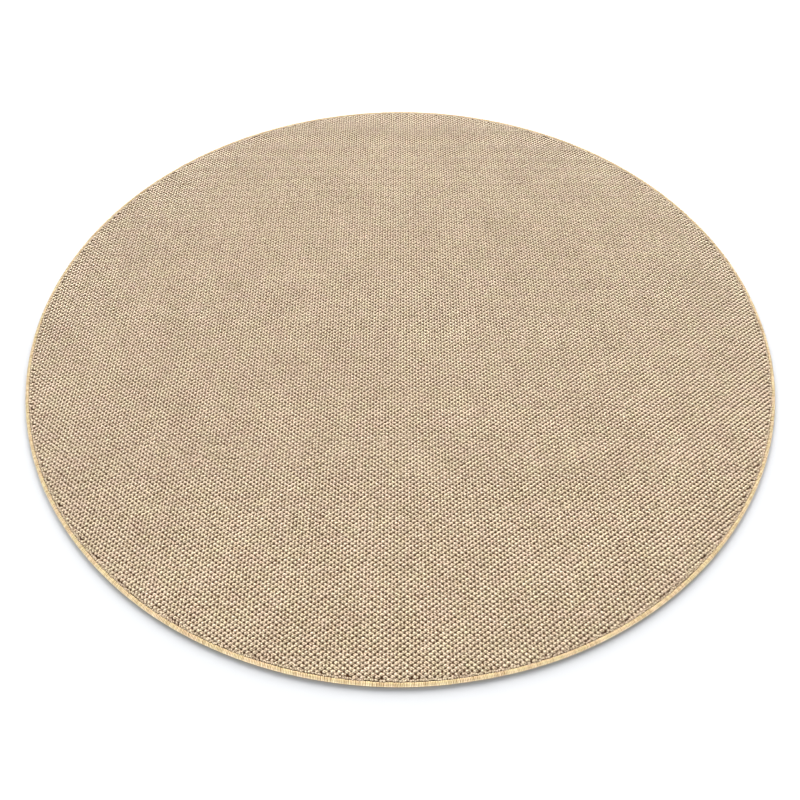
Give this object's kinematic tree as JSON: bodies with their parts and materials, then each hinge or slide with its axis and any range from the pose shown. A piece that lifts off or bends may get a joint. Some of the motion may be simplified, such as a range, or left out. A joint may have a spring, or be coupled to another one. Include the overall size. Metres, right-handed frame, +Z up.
{
  "type": "round rug",
  "caption": "Flat round rug of short looped polypropylene yarn in beige, its cut rim wrapped all round by pale overlock yarn.",
  "frame": {"origin": "middle of the rug's underside, on the floor", "axes": "+Z up through the middle of the rug, -Y towards the camera of the picture, with the columns of loops running along Y"},
  "size_m": [1.1996, 1.2004, 0.006],
  "materials": {
    "loop_cloth": "heathered beige polypropylene loops over a darker brown ground, matte with a faint sheen",
    "binding_yarn": "cream polypropylene overlock yarn, close radial stitches, soft sheen"
  },
  "bodies": {
    "root": {"rug_cloth": "loop_cloth", "edge_binding": "binding_yarn"}
  },
  "joints": []
}
